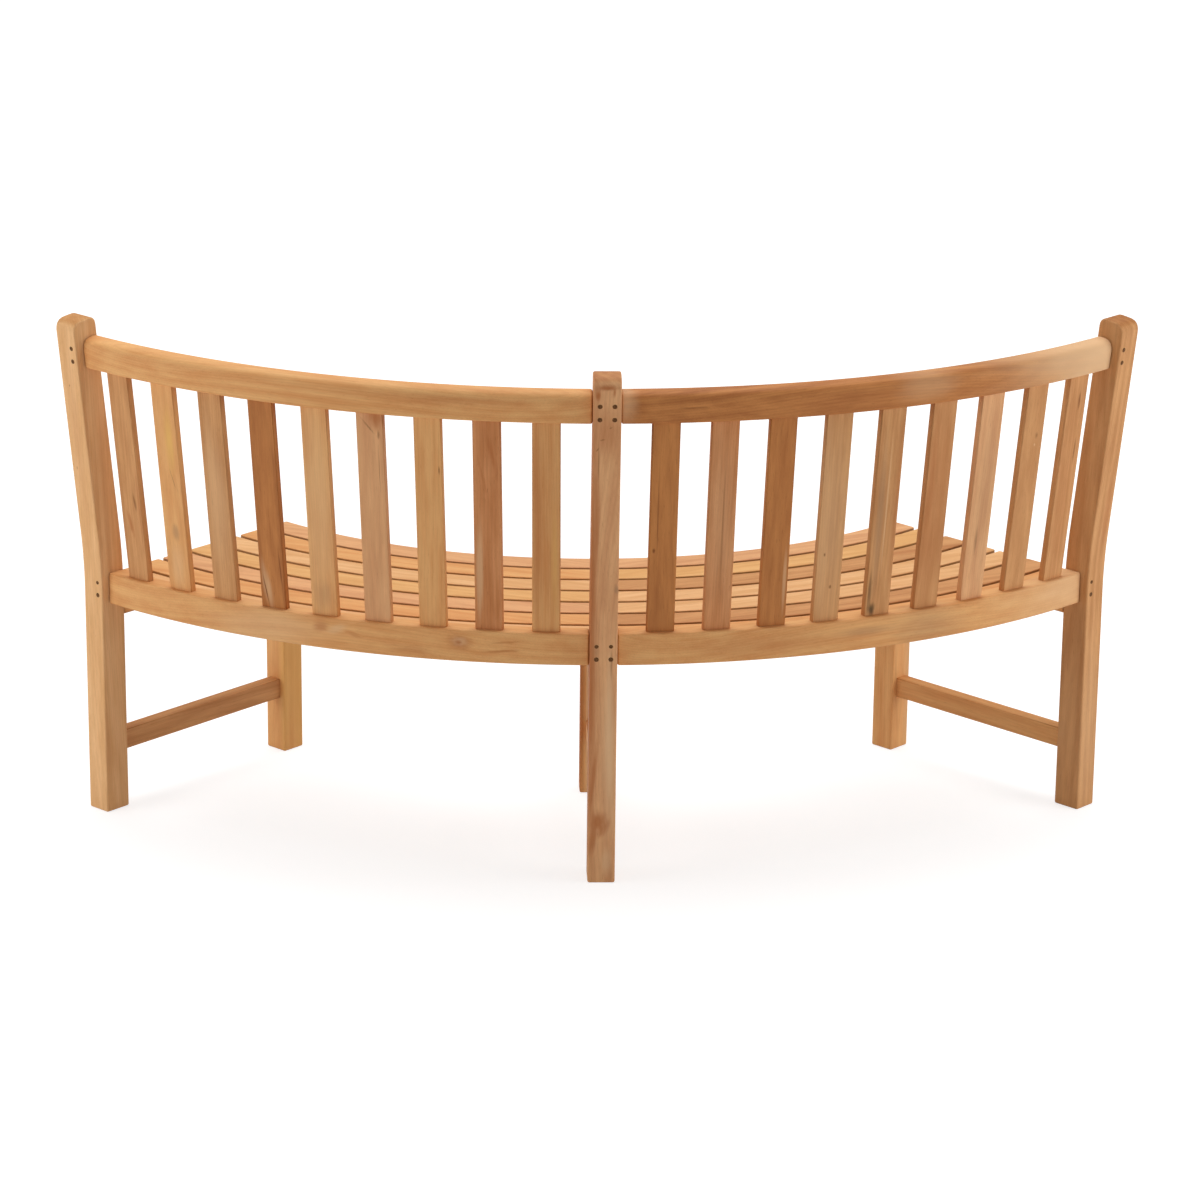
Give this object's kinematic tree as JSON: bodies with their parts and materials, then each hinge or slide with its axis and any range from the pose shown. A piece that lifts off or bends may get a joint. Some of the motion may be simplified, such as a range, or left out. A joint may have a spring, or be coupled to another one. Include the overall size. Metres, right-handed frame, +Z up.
{
  "type": "curved garden bench",
  "caption": "Curved outdoor bench on an arc: raked posts, curved rails with a rounded crest, upright back slats and curved seat slats on radial bearers.",
  "frame": {"origin": "on the floor, under the middle of the bench's bounding box", "axes": "+Z up, +Y from the sitter's front to the back, +X to the left of someone who looks at the back of the bench"},
  "size_m": [1.8298, 0.7548, 0.8932],
  "materials": {
    "post_teak": "sanded, unfinished teak",
    "rail_teak": "sanded, unfinished teak",
    "slat_teak": "sanded, unfinished teak, tone varies by board",
    "seat_teak": "sanded, unfinished teak",
    "pin_wood": "dark dowel end grain, flush"
  },
  "bodies": {
    "root": {"back_post_left": "post_teak", "front_leg_left": "post_teak", "seat_bearer_left": "rail_teak", "stretcher_left": "rail_teak", "back_post_centre": "post_teak", "front_leg_centre": "post_teak", "seat_bearer_centre": "rail_teak", "stretcher_centre": "rail_teak", "back_post_right": "post_teak", "front_leg_right": "post_teak", "seat_bearer_right": "rail_teak", "stretcher_right": "rail_teak", "top_rail_left": "rail_teak", "lower_rail_left": "rail_teak", "front_apron_left": "rail_teak", "seat_batten_left": "rail_teak", "seat_slat_left_1": "seat_teak", "seat_slat_left_2": "seat_teak", "seat_slat_left_3": "seat_teak", "seat_slat_left_4": "seat_teak", "seat_slat_left_5": "seat_teak", "seat_slat_left_6": "seat_teak", "seat_slat_left_7": "seat_teak", "back_slat_left_1": "slat_teak", "back_slat_left_2": "slat_teak", "back_slat_left_3": "slat_teak", "back_slat_left_4": "slat_teak", "back_slat_left_5": "slat_teak", "back_slat_left_6": "slat_teak", "back_slat_left_7": "slat_teak", "back_slat_left_8": "slat_teak", "back_slat_left_9": "slat_teak", "top_rail_right": "rail_teak", "lower_rail_right": "rail_teak", "front_apron_right": "rail_teak", "seat_batten_right": "rail_teak", "seat_slat_right_1": "seat_teak", "seat_slat_right_2": "seat_teak", "seat_slat_right_3": "seat_teak", "seat_slat_right_4": "seat_teak", "seat_slat_right_5": "seat_teak", "seat_slat_right_6": "seat_teak", "seat_slat_right_7": "seat_teak", "back_slat_right_1": "slat_teak", "back_slat_right_2": "slat_teak", "back_slat_right_3": "slat_teak", "back_slat_right_4": "slat_teak", "back_slat_right_5": "slat_teak", "back_slat_right_6": "slat_teak", "back_slat_right_7": "slat_teak", "back_slat_right_8": "slat_teak", "back_slat_right_9": "slat_teak", "top_rail_pin_1": "pin_wood", "lower_rail_pin_1": "pin_wood", "top_rail_pin_2": "pin_wood", "lower_rail_pin_2": "pin_wood", "top_rail_pin_3": "pin_wood", "lower_rail_pin_3": "pin_wood", "top_rail_pin_4": "pin_wood", "lower_rail_pin_4": "pin_wood"}
  },
  "joints": []
}
